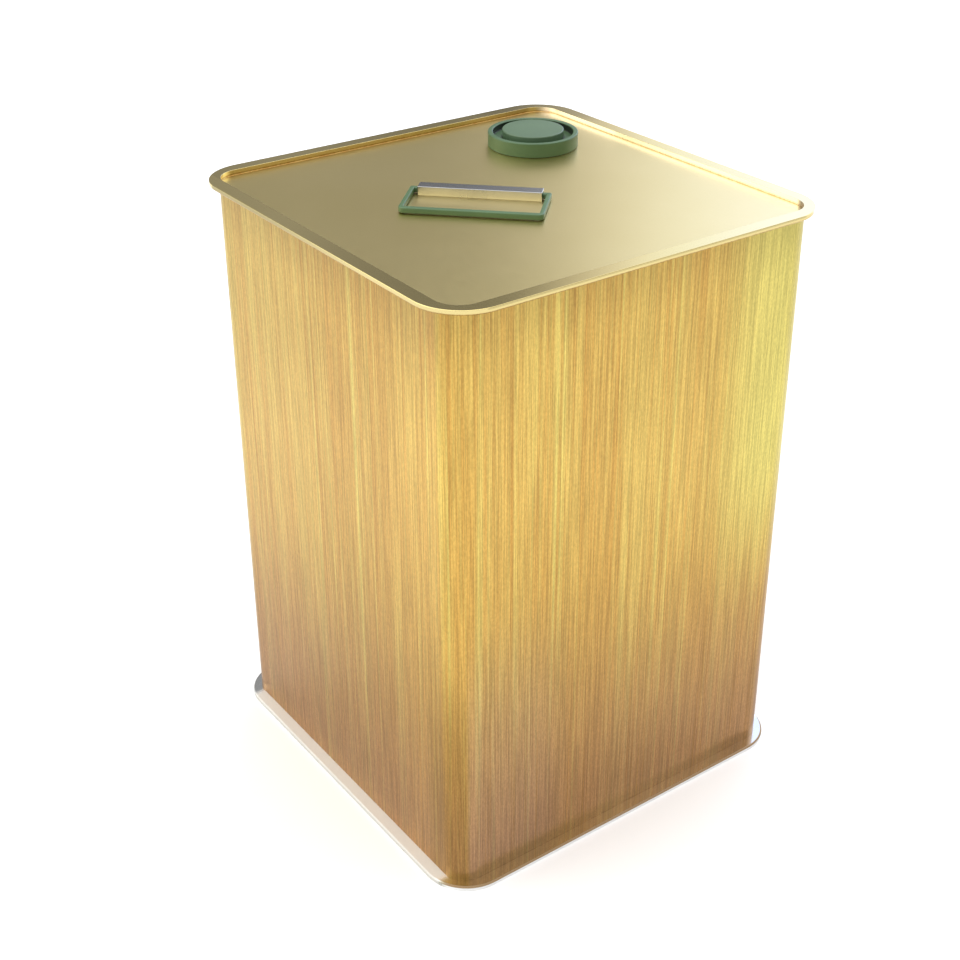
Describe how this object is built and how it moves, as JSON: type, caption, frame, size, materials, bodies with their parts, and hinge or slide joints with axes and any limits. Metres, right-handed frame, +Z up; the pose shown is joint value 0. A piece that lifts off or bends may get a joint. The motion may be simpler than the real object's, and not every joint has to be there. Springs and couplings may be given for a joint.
{
  "type": "olive oil tin with spout",
  "caption": "Square metal oil tin with rounded corners, a recessed lid between flat folded rims, a fold-down bail handle and a pull-out spout under a screw cap.",
  "frame": {"origin": "middle of the tin's base, on the surface it stands on", "axes": "+Z up; X and Y along the sides, with the spout at the +X +Y corner and the handle folded towards the -X -Y corner"},
  "size_m": [0.204, 0.204, 0.2916],
  "materials": {
    "brushed_gold": "vertical brushed grain under gold lacquer",
    "satin_gold": "satin gold lacquer",
    "bare_tinplate": "bright bare tinplate",
    "green_plastic": "satin moulded plastic",
    "seal_rubber": "matte",
    "soft_white": "soft foam",
    "lacquer_white": "sprayed lacquer stripe"
  },
  "bodies": {
    "tin": {"body_shell": "brushed_gold", "side_stripe": "lacquer_white", "top_end": "satin_gold", "top_seam_compound": "seal_rubber", "bottom_end": "bare_tinplate", "bottom_seam_compound": "seal_rubber", "spout_collar": "green_plastic", "neck_gasket": "soft_white", "handle_strap": "bare_tinplate"},
    "spout": {"spout_sleeve": "green_plastic", "stop_seal": "seal_rubber"},
    "liner": {"cap_liner": "soft_white"},
    "cap": {"spout_cap": "green_plastic"},
    "bail": {"handle_bail": "green_plastic"}
  },
  "joints": [
    {"name": "spout_pull", "type": "slide", "parent": "tin", "child": "spout", "axis": [0, 0, 1], "range_m": [0, 0.022]},
    {"name": "cap_lift", "type": "slide", "parent": "spout", "child": "liner", "axis": [0, 0, 1], "range_m": [0, 0.0031]},
    {"name": "cap_turn", "type": "hinge", "parent": "liner", "child": "cap", "pos_m": [0.0545, 0.051, 0.29], "axis": [0, 0, 1], "range_deg": [0, 360]},
    {"name": "bail_swing", "type": "hinge", "parent": "tin", "child": "bail", "pos_m": [-0.00962, 0.00537, 0.2852], "axis": [-0.7071, 0.7071, 0], "range_deg": [0, 180]}
  ],
  "couplings": [
    {"joint": "cap_lift", "follows": "cap_turn", "m_per_rad": 0.00047746}
  ]
}
